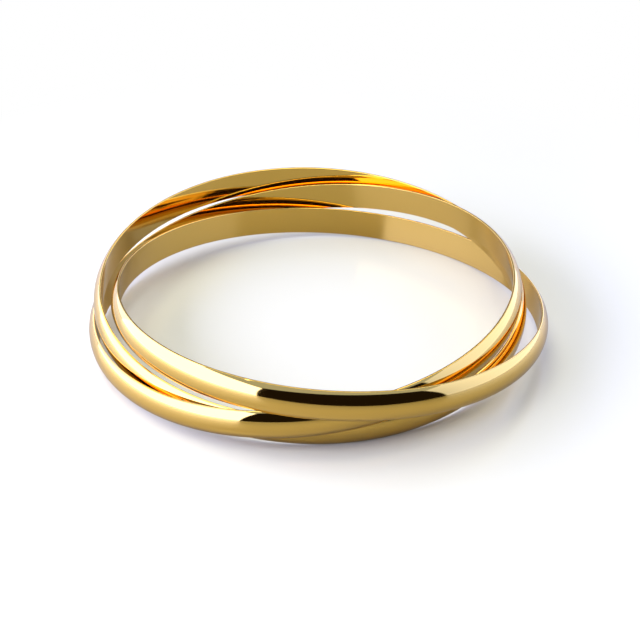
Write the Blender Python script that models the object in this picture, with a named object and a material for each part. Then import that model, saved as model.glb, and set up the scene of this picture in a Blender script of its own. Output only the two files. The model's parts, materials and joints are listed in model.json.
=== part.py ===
"""Three like bangles of polished gold tone metal, each one linked through the other two.

They lie on a level surface at z = 0, centred over the origin, in metres with +Z up. +Y is the
far side of the set. Each bangle is a closed ring whose section is flat on the wrist side, has a
narrow flat land on both edges, and swells to a low dome on the outside.
"""

import math

import bmesh
import bpy
from mathutils import Matrix, Vector

# Sizes of one bangle, in metres.
INNER_RADIUS = 0.034
BAND_WIDTH = 0.0048  # along the bangle's own axis
BAND_THICKNESS = 0.0013  # from the wrist side to the crown of the dome
LAND_THICKNESS = 0.0003  # the flat edge, between the wrist side and the dome
WRIST_ROUNDING = 0.00008  # radius that breaks the edge against the wrist
BANGLE_GAP = 0.0004  # free space that two bangles keep where they cross

# Fineness of the turned surface.
TURN_STEPS = 96
DOME_STEPS = 8
ROUNDING_STEPS = 2

# How the bangles lie. Across and away place a bangle's centre beside the middle of the set, in
# shares of the step between two walls side by side. Climb is the height from the centre of the
# bangle up to its highest side, in shares of the step between two bands that are stacked. Low side
# is the compass angle of the side that touches the surface, from +X towards +Y, in degrees.
# Each is named for the side where it lies over the other two.
BANGLES = (
    # name, across, away, climb, low side
    ("bangle_front", 1.44, -0.92, 0.732, 55.7),
    ("bangle_right", -1.03, 0.00, 0.716, 193.4),
    ("bangle_back", -0.42, 0.92, 0.748, 284.2),
)

GOLD_COLOUR = (0.86, 0.64, 0.27, 1.0)
GOLD_ROUGHNESS = 0.12
CREASE_ANGLE = math.radians(25)


def clear_scene():
    for thing in list(bpy.data.objects):
        bpy.data.objects.remove(thing, do_unlink=True)


def gold(name):
    material = bpy.data.materials.new(name)
    material.use_nodes = True
    shader = material.node_tree.nodes["Principled BSDF"]
    shader.inputs["Base Color"].default_value = GOLD_COLOUR
    shader.inputs["Metallic"].default_value = 1.0
    shader.inputs["Roughness"].default_value = GOLD_ROUGHNESS
    return material


def arc(centre, radius, start, end, steps):
    """Points as (distance from the axis, height) round a centre, angles in radians."""
    points = []
    for step in range(steps + 1):
        angle = start + (end - start) * step / steps
        points.append((centre[0] + radius * math.cos(angle), centre[1] + radius * math.sin(angle)))
    return points


def band_section():
    """The outline of the band, counter-clockwise, with its outer side away from the axis."""
    half = BAND_WIDTH / 2
    swell = BAND_THICKNESS - LAND_THICKNESS
    dome_radius = (half**2 + swell**2) / (2 * swell)
    dome_centre = (INNER_RADIUS + BAND_THICKNESS - dome_radius, 0.0)
    dome_half_angle = math.asin(half / dome_radius)
    wrist_edge = INNER_RADIUS + WRIST_ROUNDING
    lower_centre = (wrist_edge, -half + WRIST_ROUNDING)
    upper_centre = (wrist_edge, half - WRIST_ROUNDING)
    quarter = math.pi / 2
    return (
        arc(lower_centre, WRIST_ROUNDING, 2 * quarter, 3 * quarter, ROUNDING_STEPS)
        + arc(dome_centre, dome_radius, -dome_half_angle, dome_half_angle, DOME_STEPS)
        + arc(upper_centre, WRIST_ROUNDING, quarter, 2 * quarter, ROUNDING_STEPS)
    )


def turned_band(name):
    """A closed ring round its own z axis, with its middle at its own origin."""
    shape = bmesh.new()
    corners = [shape.verts.new((distance, 0.0, height)) for distance, height in band_section()]
    following = corners[1:] + corners[:1]
    outline = [shape.edges.new(pair) for pair in zip(corners, following)]
    bmesh.ops.spin(
        shape,
        geom=corners + outline,
        cent=(0.0, 0.0, 0.0),
        axis=(0.0, 0.0, 1.0),
        angle=2 * math.pi,
        steps=TURN_STEPS,
        use_merge=True,
    )
    bmesh.ops.recalc_face_normals(shape, faces=shape.faces)
    mesh = bpy.data.meshes.new(name)
    shape.to_mesh(mesh)
    shape.free()
    mesh.shade_smooth()
    mesh.set_sharp_from_angle(angle=CREASE_ANGLE)
    return mesh


def lean(climb, low_side):
    """The turn that lowers one side of a level bangle, so that the other climbs by its share."""
    rise = climb * (BAND_WIDTH + BANGLE_GAP)
    tilt = math.asin(rise / (INNER_RADIUS + LAND_THICKNESS))
    towards = math.radians(low_side)
    hinge_line = Vector((-math.sin(towards), math.cos(towards), 0.0))
    return Matrix.Rotation(tilt, 4, hinge_line)


def resting_height(mesh, turn):
    """How far the bangle's centre is above the surface when its low side touches it."""
    return -min((turn @ vertex.co).z for vertex in mesh.vertices)


def make_bangle(name, across, away, climb, low_side, holder):
    mesh = turned_band(name)
    mesh.materials.append(gold(name + "_gold"))
    turn = lean(climb, low_side)
    side_step = BAND_THICKNESS + BANGLE_GAP
    centre = Vector((across * side_step, away * side_step, resting_height(mesh, turn)))
    bangle = bpy.data.objects.new(name, mesh)
    bpy.context.scene.collection.objects.link(bangle)
    bangle.parent = holder
    bangle.rotation_mode = "QUATERNION"
    bangle.rotation_quaternion = turn.to_quaternion()
    bangle.location = centre
    return bangle


def centre_over_origin(holder, bangles):
    """Moves the whole set level, so that the middle of its bounding box is over the origin."""
    bpy.context.view_layer.update()
    corners = [bangle.matrix_world @ v.co for bangle in bangles for v in bangle.data.vertices]
    for axis in (0, 1):
        reach = [corner[axis] for corner in corners]
        holder.location[axis] -= (min(reach) + max(reach)) / 2
    bpy.context.view_layer.update()


def make_set():
    holder = bpy.data.objects.new("bangle_set", None)
    bpy.context.scene.collection.objects.link(holder)
    bangles = [make_bangle(*row, holder) for row in BANGLES]
    centre_over_origin(holder, bangles)


clear_scene()
make_set()
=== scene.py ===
# %% [markdown]
# # Three interlocking gold bangles
# Three like bangles of polished gold tone metal lie on a white table. Each one passes through the
# other two, so they can't be taken apart, and they are worn together as one. This script dresses
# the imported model: it puts a finely turned, polished band in the place of each faceted one, and
# lights them as the studio did.

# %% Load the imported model
import json
import math

import bmesh
import bpy
from mathutils import Matrix, Vector

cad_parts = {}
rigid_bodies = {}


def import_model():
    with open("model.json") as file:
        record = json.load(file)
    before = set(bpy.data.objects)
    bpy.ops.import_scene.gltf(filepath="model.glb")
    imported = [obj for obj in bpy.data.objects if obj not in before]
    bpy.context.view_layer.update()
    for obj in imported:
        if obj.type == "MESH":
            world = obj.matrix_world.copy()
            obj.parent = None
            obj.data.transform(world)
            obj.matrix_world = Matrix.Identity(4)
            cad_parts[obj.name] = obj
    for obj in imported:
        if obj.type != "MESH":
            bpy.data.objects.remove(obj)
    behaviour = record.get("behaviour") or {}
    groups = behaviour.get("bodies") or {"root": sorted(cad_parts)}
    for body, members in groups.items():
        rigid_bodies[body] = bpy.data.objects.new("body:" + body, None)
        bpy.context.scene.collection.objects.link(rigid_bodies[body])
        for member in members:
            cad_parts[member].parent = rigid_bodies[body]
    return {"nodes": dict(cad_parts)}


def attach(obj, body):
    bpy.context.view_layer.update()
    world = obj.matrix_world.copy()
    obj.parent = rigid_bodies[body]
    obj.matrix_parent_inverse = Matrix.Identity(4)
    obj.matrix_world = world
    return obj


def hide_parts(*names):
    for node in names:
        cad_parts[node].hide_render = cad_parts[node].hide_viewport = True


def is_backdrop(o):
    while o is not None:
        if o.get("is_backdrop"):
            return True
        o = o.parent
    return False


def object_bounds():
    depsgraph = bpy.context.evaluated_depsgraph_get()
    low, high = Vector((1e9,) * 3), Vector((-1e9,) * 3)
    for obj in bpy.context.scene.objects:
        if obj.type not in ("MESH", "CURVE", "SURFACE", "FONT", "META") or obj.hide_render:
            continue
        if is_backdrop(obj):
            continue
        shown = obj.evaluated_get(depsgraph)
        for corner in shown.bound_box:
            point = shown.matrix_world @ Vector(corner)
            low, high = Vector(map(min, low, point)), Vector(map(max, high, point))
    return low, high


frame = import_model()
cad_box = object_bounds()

MM = 0.001  # a millimetre in metres, which is what Blender counts in
BANGLES = ("bangle_front", "bangle_right", "bangle_back")


def in_mm(lengths, digits):
    return [round(length / MM, digits) for length in lengths]


print("nodes:", ", ".join(frame["nodes"]))
print("box in mm:", [in_mm(corner, 2) for corner in cad_box])

# %% [markdown]
# ## The camera
# A bangle is all curved mirror, so the angle that we see it from decides what it mirrors. The
# camera comes first for that reason. It could be placed by eye, but the outlines of the three
# rings tell more: how slim their ellipses are gives the angle, and how much larger the near side
# looks gives the distance, about a quarter of a metre.
#
# A camera looks along its own -Z, so pitching it up by 90 degrees makes it look level, and the
# angle below the level is taken off that.

# %% Camera
LENS = 85.0  # focal length in mm: a short telephoto lens
SENSOR_WIDTH = 36.0  # mm
NEAREST = 0.01  # metres: the camera sees nothing that is closer
PITCH_DOWN = math.radians(31.58)
CAMERA_PLACE = (0.00041, -0.21201, 0.13209)

bpy.ops.object.camera_add(
    location=CAMERA_PLACE, rotation=(math.pi / 2 - PITCH_DOWN, 0.0, 0.0)
)
camera = bpy.context.object
camera.name = "camera"
camera.data.lens = LENS
camera.data.sensor_width = SENSOR_WIDTH
camera.data.clip_start = NEAREST
camera.data.dof.use_dof = False
bpy.context.scene.camera = camera
print("camera looks down by", round(math.degrees(PITCH_DOWN), 1), "degrees")

# %% [markdown]
# ## Measuring the bangles
# The visual bands have to lie exactly where the solid ones lie. Their sizes and places aren't
# typed in again, because two copies of a number drift apart. They are measured from the solid:
# the middle of a ring is the mean of its corners, and its axis is the direction in which the
# corners spread least. Distances from that axis give the radii, and heights along it the width.
#
# The spread is a matrix of nine sums. Its inverse turns the least spread into the greatest, so
# any direction that it is applied to again and again ends up along the axis.

# %% Measure a ring
UP = Vector((0.0, 0.0, 1.0))
ROUNDS = 40  # far more than the axis needs to settle
AT_EDGE = 0.999  # a corner lies on the flat edge if it is this near to the greatest height


def ring_axis(corners, middle):
    """The direction in which the corners of a flat ring spread least, pointing up."""
    spread = Matrix(((0.0,) * 3,) * 3)
    for corner in corners:
        away = corner - middle
        for row in range(3):
            for column in range(3):
                spread[row][column] += away[row] * away[column]
    shrink = spread.inverted()
    axis = UP
    for _ in range(ROUNDS):
        axis = (shrink @ axis).normalized()
    return axis if axis.z > 0 else -axis


def measure(node):
    corners = [vertex.co.copy() for vertex in bpy.data.objects[node].data.vertices]
    middle = sum(corners, Vector()) / len(corners)
    axis = ring_axis(corners, middle)
    heights = [(corner - middle).dot(axis) for corner in corners]
    reaches = [(corner - middle - axis * high).length for corner, high in zip(corners, heights)]
    half_width = max(heights)
    edge = [reach for reach, high in zip(reaches, heights) if high > half_width * AT_EDGE]
    return {
        "middle": middle,
        "axis": axis,
        "wrist": min(reaches),
        "crown": max(reaches),
        "land": max(edge),
        "half": half_width,
        "rounding": min(edge) - min(reaches),
    }


sizes = {node: measure(node) for node in BANGLES}
for node, size in sizes.items():
    lengths = {key: size[key] for key in ("wrist", "crown", "land", "half", "rounding")}
    print(node, dict(zip(lengths, in_mm(lengths.values(), 3))), "mm")
    print("  middle at", in_mm(size["middle"], 2), "mm")
    print("  axis along", [round(part, 4) for part in size["axis"]])

# %% [markdown]
# ## How big to draw the bands
# The solid ring is made of flat faces whose corners lie on the full circle. A round band through
# those corners would bulge out between them, past the solid's box. It could be scaled down by
# guesswork. Here the solid is asked how much nearer to the axis the middle of a face is than its
# corners, and the band is drawn smaller by that share, a hair that no eye can see.

# %% How flat the solid's faces are
AT_CROWN = 0.99999  # a corner lies on the crown if it is this near to the greatest reach


def face_middle_share(node, size):
    """The reach of a flat face's middle from the axis, as a share of the reach of its corners."""
    mesh = bpy.data.objects[node].data

    def reach(place):
        away = place - size["middle"]
        return (away - size["axis"] * away.dot(size["axis"])).length

    shares = []
    for edge in mesh.edges:
        start, end = (mesh.vertices[index].co for index in edge.vertices)
        if min(reach(start), reach(end)) > size["crown"] * AT_CROWN:
            shares.append(reach((start + end) / 2) / size["crown"])
    return min(shares)


first = sizes[BANGLES[0]]
share = face_middle_share(BANGLES[0], first)
wrist, crown, land = (first[reach] * share for reach in ("wrist", "crown", "land"))
half = first["half"]
print("drawn smaller by", round((1 - share) * crown / MM, 4), "mm at the crown")

# %% [markdown]
# ## One band
# The band is flat against the wrist and domed outside, with a narrow flat edge on both sides. A
# goldsmith rolls such a profile as wire and bends it round. A ring could be made from a torus,
# but a torus has a round section, and pressing it into shape leaves uneven faces. Here the
# section is drawn first and spun round the axis, as on a lathe, so the dome stays a true arc and
# its reflections run without a ripple.
#
# In edit mode an operator acts on what is selected. By hand one would click the corners, and a
# script picks them by their place.


# %% Helpers for selecting
def deselect_all():
    if bpy.context.object and bpy.context.object.mode != "OBJECT":
        bpy.ops.object.mode_set(mode="OBJECT")
    bpy.ops.object.select_all(action="DESELECT")


def select_corners(thing, wanted):
    """In edit mode, selects just the vertices for which wanted(place) is true."""
    bpy.ops.mesh.select_mode(type="VERT")
    bpy.ops.mesh.select_all(action="DESELECT")
    drawing = bmesh.from_edit_mesh(thing.data)
    for vertex in drawing.verts:
        vertex.select = bool(wanted(vertex.co))
    drawing.select_flush_mode()
    bmesh.update_edit_mesh(thing.data)
    return sum(vertex.select for vertex in drawing.verts)


# %% [markdown]
# The dome comes from a circle of the dome's own radius, standing on edge. A cut leaves the small
# part of it that lies outside the land, so the circle starts with many corners. The width and
# the height of an arc give its radius, by Pythagoras.

# %% Draw the dome
DOME_CORNERS = 192  # in the full circle
ONE_PLACE = 1e-7  # metres: corners that are closer are one corner

swell = crown - land
dome_radius = (half**2 + swell**2) / (2 * swell)

deselect_all()
bpy.ops.mesh.primitive_circle_add(
    vertices=DOME_CORNERS,
    radius=dome_radius,
    location=(crown - dome_radius, 0.0, 0.0),
    rotation=(math.pi / 2, 0.0, 0.0),
)
band = bpy.context.object
band.name = "band"
bpy.ops.object.transform_apply(location=True, rotation=True, scale=True)
bpy.ops.object.mode_set(mode="EDIT")
bpy.ops.mesh.select_all(action="SELECT")
bpy.ops.mesh.bisect(
    plane_co=(land, 0.0, 0.0), plane_no=(1.0, 0.0, 0.0), clear_inner=True, threshold=ONE_PLACE
)
bpy.ops.mesh.select_all(action="SELECT")
bpy.ops.mesh.remove_doubles(threshold=ONE_PLACE)
print("dome radius", round(dome_radius / MM, 3), "mm")

# %% [markdown]
# The lands are the two narrow flat edges of the band. The dome's two ends are drawn in towards
# the wrist for them, which is one extrusion, and an edge between the new ends is the wall
# against the wrist. That closes the outline.

# %% Draw the lands and close the outline
CLOSE = 1e-6  # metres: how far a corner may be from the place where it is looked for

ends = select_corners(band, lambda place: place.x < land + CLOSE)
bpy.ops.mesh.extrude_region_move(TRANSFORM_OT_translate={"value": (wrist - land, 0.0, 0.0)})
bpy.ops.mesh.edge_face_add()
print("open ends joined:", ends)

# %% [markdown]
# The Screw modifier could turn the outline as well. The Spin operator does it at once, as the
# next steps select edges of the result. A full turn ends where it began, so the first and last
# sections lie on each other. They are merged, and the faces are then made to point outwards.

# %% Turn the band
TURN_STEPS = 360  # one for each degree

bpy.ops.mesh.select_all(action="SELECT")
bpy.ops.mesh.spin(
    steps=TURN_STEPS, angle=2 * math.pi, center=(0.0, 0.0, 0.0), axis=(0.0, 0.0, 1.0)
)
bpy.ops.mesh.select_all(action="SELECT")
bpy.ops.mesh.remove_doubles(threshold=CLOSE)
bpy.ops.mesh.normals_make_consistent(inside=False)
bpy.ops.object.mode_set(mode="OBJECT")
bpy.ops.object.shade_smooth()
print("faces in one band:", len(band.data.polygons))

# %% [markdown]
# No polished edge is sharp. The two edges against the wrist are eased so that they don't press,
# and the two where a land meets the dome are only just broken, which draws a thin line of light
# along the ring. Rounding the wire before bending would do it in the workshop. Here the edges
# that run round the ring are picked by their place, and beveled: those that lie level, at the
# reach of the wrist side or of the land.

# %% Ease the edges
LAND_ROUNDING = 0.05 * MM
LAND_SEGMENTS = 3
WRIST_SEGMENTS = 4
QUARTER_CIRCLE = 0.5  # the bevel profile that is round


def bevel_rims(thing, reach, rounding, segments):
    bpy.ops.object.mode_set(mode="EDIT")
    bpy.ops.mesh.select_mode(type="EDGE")
    bpy.ops.mesh.select_all(action="DESELECT")
    drawing = bmesh.from_edit_mesh(thing.data)
    for edge in drawing.edges:
        start, end = (corner.co for corner in edge.verts)
        at_rim = all(abs(place.xy.length - reach) < CLOSE for place in (start, end))
        edge.select = at_rim and abs(start.z - end.z) < CLOSE
    bmesh.update_edit_mesh(thing.data)
    print("edges round the rims:", sum(edge.select for edge in drawing.edges))
    bpy.ops.mesh.bevel(
        offset=rounding, segments=segments, profile=QUARTER_CIRCLE, affect="EDGES"
    )
    bpy.ops.object.mode_set(mode="OBJECT")


bevel_rims(band, wrist, first["rounding"], WRIST_SEGMENTS)
bevel_rims(band, land, LAND_ROUNDING, LAND_SEGMENTS)
bpy.ops.object.shade_smooth()

# %% [markdown]
# Smooth shading blends the direction of neighbouring faces. That is right on the dome, but the
# flat wall against the wrist would take on some of the direction of its tiny rounded edges, and
# would mirror like a dent. The Weighted Normal modifier lets the large faces decide, so the wall
# mirrors as a true cylinder and only the small faces of the edges bend.

# %% Let the large faces decide
LARGEST_WINS = 100  # the most that a face's size can count

weigh = band.modifiers.new("weigh", "WEIGHTED_NORMAL")
weigh.mode = "FACE_AREA"
weigh.weight = LARGEST_WINS
weigh.keep_sharp = False
bpy.ops.object.modifier_apply(modifier=weigh.name)
print("directions set at", len(band.data.loops), "face corners")

# %% [markdown]
# ## The polish marks need a direction
# A bangle is polished on a wheel, and the finest marks run round the band. For the marks to
# follow it, the band gets a UV map: U runs round the ring, V across the section, and both are
# roughly in metres, so a mark is about as fine on the dome as on the land. An unwrap operator
# would find some layout, but not one with a known direction and size, so the map is worked out
# from each corner's angle and its place in the section.

# %% Map the band
BAND_MAP = "along_band"


def unroll(thing, middle_radius, section_middle):
    mesh = thing.data
    layer = mesh.uv_layers.new(name=BAND_MAP)
    for face in mesh.polygons:
        places = [mesh.vertices[index].co for index in face.vertices]
        angles = [math.atan2(place.y, place.x) for place in places]
        if max(angles) - min(angles) > math.pi:  # this face crosses the seam
            angles = [angle + 2 * math.pi if angle < 0 else angle for angle in angles]
        for angle, loop, place in zip(angles, face.loop_indices, places):
            reach = math.hypot(place.x, place.y)
            round_section = math.atan2(place.z, reach - section_middle)
            layer.data[loop].uv = (angle * middle_radius, round_section * half)


unroll(band, (wrist + crown) / 2, (wrist + land) / 2)
print("mapped", len(band.data.uv_layers[0].data), "face corners")

# %% [markdown]
# ## Polished gold
# Polished gold tone metal has no colour of its own besides what it mirrors: it tints the
# reflections, deep yellow where we look straight at it and paler at a grazing angle. A yellow
# paint with a gloss would keep its colour in the dark streaks, and metal doesn't. So this is a
# metallic Principled BSDF with a yellow base colour.

# %% Colour of the gold
GOLD_COLOUR = (0.95, 0.63, 0.15, 1.0)

gold = bpy.data.materials.new("polished_gold_tone")
gold.use_nodes = True
gold_nodes, gold_links = gold.node_tree.nodes, gold.node_tree.links
gold_shader = gold_nodes["Principled BSDF"]
gold_shader.inputs["Base Color"].default_value = GOLD_COLOUR
gold_shader.inputs["Metallic"].default_value = 1.0
print("gold colour", GOLD_COLOUR[:3])

# %% [markdown]
# Three things keep it from looking like a computer's mirror. The roughness wanders a little,
# where fingers and the wheel have been. The finest polish marks run round the band. And the
# surface waves by a few microns, which makes the edges of the reflections swim. All three come
# from Noise textures. The smudges and waves lie in space, in Object coordinates. The marks are
# drawn in the band's own map and squeezed across it, so each becomes a long fine line.

# %% Patterns in the gold
MARKS_ALONG, MARKS_ACROSS = 60.0, 9000.0  # per metre
SMUDGES = 90.0  # per metre
WAVES = 60.0  # per metre


def noise(scale, detail, source):
    node = gold_nodes.new("ShaderNodeTexNoise")
    node.inputs["Scale"].default_value = scale
    node.inputs["Detail"].default_value = detail
    gold_links.new(source, node.inputs["Vector"])
    return node.outputs["Fac"]


band_map = gold_nodes.new("ShaderNodeUVMap")
band_map.uv_map = BAND_MAP
squeeze = gold_nodes.new("ShaderNodeMapping")
squeeze.inputs["Scale"].default_value = (MARKS_ALONG, MARKS_ACROSS, 1.0)
gold_links.new(band_map.outputs["UV"], squeeze.inputs["Vector"])
space = gold_nodes.new("ShaderNodeTexCoord")

marks = noise(scale=1.0, detail=2.0, source=squeeze.outputs["Vector"])
smudges = noise(scale=SMUDGES, detail=3.0, source=space.outputs["Object"])
waves = noise(scale=WAVES, detail=1.0, source=space.outputs["Object"])
print("patterns per metre:", MARKS_ACROSS, "marks,", SMUDGES, "smudges,", WAVES, "waves")

# %% [markdown]
# A polished face is never equally bright all over. Fingers leave a film on it, and the wheel
# leaves some lines a little duller than others. One even roughness would look like plastic.
# Both patterns are spread over a small range of roughness instead, and added up.

# %% Uneven shine
NOISE_LOW, NOISE_HIGH = 0.3, 0.7  # a noise seldom leaves this range
SMUDGE_ROUGHNESS = (0.02, 0.05)
MARK_ROUGHNESS = (0.0, 0.03)


def spread_over(pattern, low, high):
    node = gold_nodes.new("ShaderNodeMapRange")
    node.inputs["From Min"].default_value = NOISE_LOW
    node.inputs["From Max"].default_value = NOISE_HIGH
    node.inputs["To Min"].default_value = low
    node.inputs["To Max"].default_value = high
    gold_links.new(pattern, node.inputs["Value"])
    return node.outputs["Result"]


both = gold_nodes.new("ShaderNodeMath")
both.operation = "ADD"
gold_links.new(spread_over(smudges, *SMUDGE_ROUGHNESS), both.inputs[0])
gold_links.new(spread_over(marks, *MARK_ROUGHNESS), both.inputs[1])
gold_links.new(both.outputs["Value"], gold_shader.inputs["Roughness"])
print("roughness up to", SMUDGE_ROUGHNESS[1] + MARK_ROUGHNESS[1])

# %% [markdown]
# Polishing leaves the dome very slightly wavy, and the marks of the wheel are grooves of a
# fraction of a micron. Moving the mesh would take millions of faces for that, so two Bump nodes
# tilt the surface for the light alone: the waves first, and the marks on top of them.

# %% Waves and marks in the surface
WAVE_DEPTH = 0.01 * MM
MARK_DEPTH = 0.0002 * MM


def bump(pattern, depth, below=None):
    node = gold_nodes.new("ShaderNodeBump")
    node.inputs["Distance"].default_value = depth
    node.inputs["Strength"].default_value = 1.0
    gold_links.new(pattern, node.inputs["Height"])
    if below:
        gold_links.new(below, node.inputs["Normal"])
    return node.outputs["Normal"]


wavy = bump(waves, WAVE_DEPTH)
gold_links.new(bump(marks, MARK_DEPTH, wavy), gold_shader.inputs["Normal"])
print("gold finish with", len(gold_nodes), "nodes")

# %% [markdown]
# ## Three bangles from one
# All three are the same article, so the finished band is copied. Each copy gets its own mesh,
# because the place of a bangle is kept in its mesh: it is turned until its axis lies along the
# solid one's axis, moved to its middle, and then both are applied. Linked copies would be
# lighter, but they share one mesh, and so one place. Each is also turned in its own plane by a
# different angle, so that no two bangles have their seam and their marks in the same place.

# %% Place the bangles
TURNED_APART = 40.0  # degrees from one bangle to the next


def place_copy(name, size, turned_by):
    deselect_all()
    band.select_set(True)
    bpy.context.view_layer.objects.active = band
    bpy.ops.object.duplicate(linked=False)
    copy = bpy.context.object
    copy.name = name
    lean = UP.rotation_difference(size["axis"]).to_matrix().to_4x4()
    spun = Matrix.Rotation(turned_by, 4, "Z")
    copy.matrix_world = Matrix.Translation(size["middle"]) @ lean @ spun
    bpy.ops.object.transform_apply(location=True, rotation=True, scale=True)
    copy.data.materials.clear()
    copy.data.materials.append(gold)
    return copy


for number, node in enumerate(BANGLES):
    turned_by = math.radians(TURNED_APART * number)
    piece = place_copy("polished_" + node, sizes[node], turned_by)
    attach(piece, "root")
    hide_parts(node)
    lowest = min(vertex.co.z for vertex in piece.data.vertices)
    print(piece.name, "lowest point at", round(lowest / MM, 4), "mm")

bpy.data.objects.remove(band, do_unlink=True)

# %% [markdown]
# ## The table
# The bangles lie on smooth white paper. It was lit until it burned out to plain white in the
# picture, but the gold shows that it is no brighter than the rest of the studio: its reflection
# in the bands is a mid tone. One paper can't do both, so the Light Path node picks: rays
# straight from the camera meet a pale paper, all others a darker one. The paper has a slight
# gloss, so it mirrors the cards where the bands look along it.

# %% Paper
PAPER = (0.255, 0.234, 0.152, 1.0)
PAPER_IN_PICTURE = (0.555, 0.535, 0.38, 1.0)
PAPER_ROUGHNESS = 0.25
PAPER_GLOSS = 0.42
FLOOR_SIZE = 8.0  # metres
FACTOR, FIRST_COLOUR, SECOND_COLOUR, MIXED = 0, 6, 7, 2  # a colour mix's sockets, by number

deselect_all()
bpy.ops.mesh.primitive_plane_add(size=FLOOR_SIZE, location=(0.0, 0.0, 0.0))
floor = bpy.context.object
floor.name = "floor"
floor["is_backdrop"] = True

paper = bpy.data.materials.new("white_paper")
paper.use_nodes = True
nodes, links = paper.node_tree.nodes, paper.node_tree.links
matt = nodes["Principled BSDF"]
matt.inputs["Roughness"].default_value = PAPER_ROUGHNESS
matt.inputs["Specular IOR Level"].default_value = PAPER_GLOSS
ray = nodes.new("ShaderNodeLightPath")
choose = nodes.new("ShaderNodeMix")
choose.data_type = "RGBA"
choose.inputs[FIRST_COLOUR].default_value = PAPER
choose.inputs[SECOND_COLOUR].default_value = PAPER_IN_PICTURE
links.new(ray.outputs["Is Camera Ray"], choose.inputs[FACTOR])
links.new(choose.outputs[MIXED], matt.inputs["Base Color"])
floor.data.materials.append(paper)
print("paper", PAPER[:3], "and", PAPER_IN_PICTURE[:3], "to the camera")

# %% [markdown]
# Away from the bangles the picture shows no table any more, only white. The paper therefore
# fades to a plain white light with the distance from the middle, again only for the camera, so
# the bands mirror none of it. It has no visible end then from any side.

# %% Burn out the paper round the bangles
FADE_FROM, FADE_TO = 0.045, 0.11  # metres from the middle

place = nodes.new("ShaderNodeTexCoord")
distance = nodes.new("ShaderNodeVectorMath")
distance.operation = "LENGTH"
links.new(place.outputs["Object"], distance.inputs[0])
fade = nodes.new("ShaderNodeMapRange")
fade.interpolation_type = "SMOOTHSTEP"
fade.inputs["From Min"].default_value = FADE_FROM
fade.inputs["From Max"].default_value = FADE_TO
links.new(distance.outputs["Value"], fade.inputs["Value"])
only_camera = nodes.new("ShaderNodeMath")
only_camera.operation = "MULTIPLY"
links.new(fade.outputs["Result"], only_camera.inputs[0])
links.new(ray.outputs["Is Camera Ray"], only_camera.inputs[1])
white = nodes.new("ShaderNodeEmission")
blend = nodes.new("ShaderNodeMixShader")
links.new(only_camera.outputs["Value"], blend.inputs["Fac"])
links.new(matt.outputs["BSDF"], blend.inputs[1])
links.new(white.outputs["Emission"], blend.inputs[2])
links.new(blend.outputs["Shader"], nodes["Material Output"].inputs["Surface"])
print("paper fades out from", FADE_FROM, "to", FADE_TO, "m")

# %% [markdown]
# ## The studio
# What a polished bangle shows is the studio. The dark streaks in front are a black card on the
# camera's side, the cream on the left is a large softbox, and the paler gold on the right is a
# wall that grows brighter towards the back. Lamps could light the scene as well, but a mirror
# shows the outline of what lights it, and a lamp has none. So each is a flat card that glows,
# between the two compass angles where the bands show its ends. Most of them stand on the table,
# and none of them shows to the camera.


# %% Helper for what glows
def glowing(name, light, colour):
    """A matt black surface that gives its own light."""
    surface = bpy.data.materials.new(name)
    surface.use_nodes = True
    skin = surface.node_tree.nodes["Principled BSDF"]
    skin.inputs["Base Color"].default_value = (0.0, 0.0, 0.0, 1.0)
    skin.inputs["Roughness"].default_value = 1.0
    skin.inputs["Specular IOR Level"].default_value = 0.0
    skin.inputs["Emission Color"].default_value = (*colour, 1.0)
    skin.inputs["Emission Strength"].default_value = light
    return surface


# %% [markdown]
# A card is a plane that stands upright and faces the bangles. Its width follows from its two
# compass angles and from how far away it stands, so the reflections alone say how to place it.

# %% Helper for a card
FRONT = (0.0, -0.03)  # the front of the set, where the long reflections lie
WHITE = (1.0, 1.0, 1.0)


def card(name, angles, reach, height, light, colour=WHITE, base=0.0):
    """A card from one compass angle to the other, counted from the camera's side to the right."""
    angle = math.radians(sum(angles) / 2)
    width = 2 * reach * math.tan(math.radians(angles[1] - angles[0]) / 2)
    x, y = FRONT[0] + reach * math.sin(angle), FRONT[1] - reach * math.cos(angle)
    deselect_all()
    bpy.ops.mesh.primitive_plane_add(
        size=1.0, location=(x, y, base + height / 2), rotation=(math.pi / 2, 0.0, angle)
    )
    made = bpy.context.object
    made.name = name
    made.scale = (width, height, 1.0)
    bpy.ops.object.transform_apply(location=False, rotation=False, scale=True)
    made.data.materials.append(glowing(name, light, colour))
    made.visible_camera = False
    made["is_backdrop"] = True
    print(name, "is", round(width, 2), "m wide and", height, "m high")
    return made


# %% [markdown]
# The black card stands just in front of the lens, where the camera sees through it, and gives
# next to no light. The softbox is so bright that it came out clipped in the picture, so it looks
# much dimmer in the gold than the light it throws on the table. It stands there twice for that
# reason: one card that only mirrors see, and one that only the matt paper sees. Gold swallows
# most of the blue, and the highlights are still cream, so the light that it mirrors is cool.

# %% Black card and softbox
DARK_WARM = (1.0, 0.7, 0.5)
COOL_MIRRORED = (1.0, 1.08, 2.05)
COOL_ON_PAPER = (1.0, 1.05, 1.8)
SOFTBOX_ENDS = (-125, -35)  # degrees
SOFTBOX_HEIGHT = 0.212

card("dark_card", (-35, 60), 0.17, 0.205, light=0.012, colour=DARK_WARM)
mirrored = card("left_softbox", SOFTBOX_ENDS, 0.2, SOFTBOX_HEIGHT, 2.6, COOL_MIRRORED)
mirrored.visible_diffuse = False
on_paper = card("left_light", SOFTBOX_ENDS, 0.199, SOFTBOX_HEIGHT, 7.5, COOL_ON_PAPER)
on_paper.visible_glossy = False

# %% [markdown]
# On the right the gold turns paler from the front to the back without a step. The wall's light
# therefore grows along its length, by its own UV map. A weak light that only the paper sees
# fills the shadows on this side.

# %% Right wall
SKYLIT = (0.94, 1.10, 2.25)
NEAR_LIGHT, FAR_LIGHT = 0.8, 1.75


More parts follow.
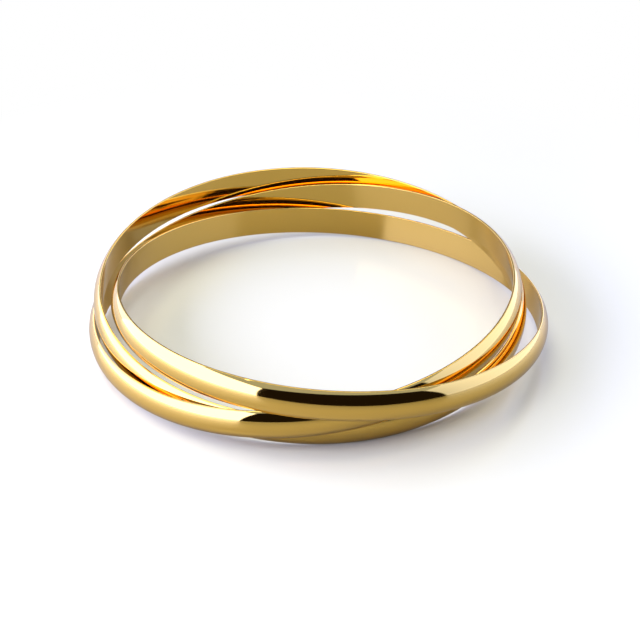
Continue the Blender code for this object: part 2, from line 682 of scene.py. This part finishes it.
def grow_along(thing, light, far_light):
    tree = thing.data.materials[0].node_tree
    along = tree.nodes.new("ShaderNodeUVMap")
    split = tree.nodes.new("ShaderNodeSeparateXYZ")
    grow = tree.nodes.new("ShaderNodeMapRange")
    grow.inputs["To Min"].default_value = light
    grow.inputs["To Max"].default_value = far_light
    skin = tree.nodes["Principled BSDF"]
    tree.links.new(along.outputs["UV"], split.inputs["Vector"])
    tree.links.new(split.outputs["X"], grow.inputs["Value"])
    tree.links.new(grow.outputs["Result"], skin.inputs["Emission Strength"])
    print(thing.name, "grows from", light, "to", far_light)


right_wall = card("right_wall", (60, 145), 0.34, 0.34, light=NEAR_LIGHT, colour=SKYLIT)
grow_along(right_wall, NEAR_LIGHT, FAR_LIGHT)
fill = card("right_light", (30, 120), 0.33, 0.3, light=2.2, colour=(1.0, 1.0, 1.2))
fill.visible_glossy = False

# %% [markdown]
# Behind the set two pale walls stand on both sides of a dark card, which draws the dark lines
# inside the far bands. A long softbox above the card lights the rims that face away from us.

# %% Back walls
BACK_REACH = 1.0
BACK_HEIGHT = 0.95
ABOVE_BACK = 0.97  # where the upper softbox starts

card("back_left_wall", (-166, -125), BACK_REACH, BACK_HEIGHT, light=1.7, colour=SKYLIT)
card("back_right_wall", (145, 166), BACK_REACH, BACK_HEIGHT, light=1.6, colour=SKYLIT)
card("back_card", (166, 194), BACK_REACH, BACK_HEIGHT, light=0.25)
card("back_softbox", (148, 212), BACK_REACH, BACK_HEIGHT, light=2.5, base=ABOVE_BACK)

# %% [markdown]
# A square softbox hangs over the table, a little to the left. It makes the soft shadows under
# the bands and beside them.

# %% Overhead softbox
OVERHEAD_SIZE = 0.8
OVERHEAD_PLACE = (-0.15, 0.0, 1.0)
OVERHEAD_LIGHT = 4.3

deselect_all()
bpy.ops.mesh.primitive_plane_add(
    size=OVERHEAD_SIZE, location=OVERHEAD_PLACE, rotation=(math.pi, 0.0, 0.0)
)
overhead = bpy.context.object
overhead.name = "overhead_softbox"
overhead.data.materials.append(glowing("overhead_softbox", OVERHEAD_LIGHT, WHITE))
overhead.visible_camera = False
overhead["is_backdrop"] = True
print("overhead softbox at", OVERHEAD_PLACE, "m")

# %% [markdown]
# The rest of the studio is an even cool grey, which the world colour gives. The camera sees
# plain white in its place, as on the paper. The Standard view keeps white as white, where the
# usual one would turn it grey.

# %% World
STUDIO_COLOUR = (0.72, 0.86, 1.5, 1.0)
STUDIO_LIGHT = 0.6

world = bpy.data.worlds.new("studio")
bpy.context.scene.world = world
world.use_nodes = True
nodes, links = world.node_tree.nodes, world.node_tree.links
nodes["Background"].inputs["Color"].default_value = STUDIO_COLOUR
nodes["Background"].inputs["Strength"].default_value = STUDIO_LIGHT
seen = nodes.new("ShaderNodeBackground")
seen.inputs["Color"].default_value = (*WHITE, 1.0)
ray = nodes.new("ShaderNodeLightPath")
choose = nodes.new("ShaderNodeMixShader")
links.new(ray.outputs["Is Camera Ray"], choose.inputs["Fac"])
links.new(nodes["Background"].outputs["Background"], choose.inputs[1])
links.new(seen.outputs["Background"], choose.inputs[2])
links.new(choose.outputs["Shader"], nodes["World Output"].inputs["Surface"])
bpy.context.scene.view_settings.view_transform = "Standard"
print("world", world.name, "set")

# %% [markdown]
# ## The size of the bands
# The bands may not be bigger than the solids that they stand for. Both boxes are printed and
# kept, so they can be compared.

# %% Finish
made_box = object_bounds()
for name, box in (("cad", cad_box), ("visual", made_box)):
    print(name, "box in mm:", [in_mm(corner, 4) for corner in box])
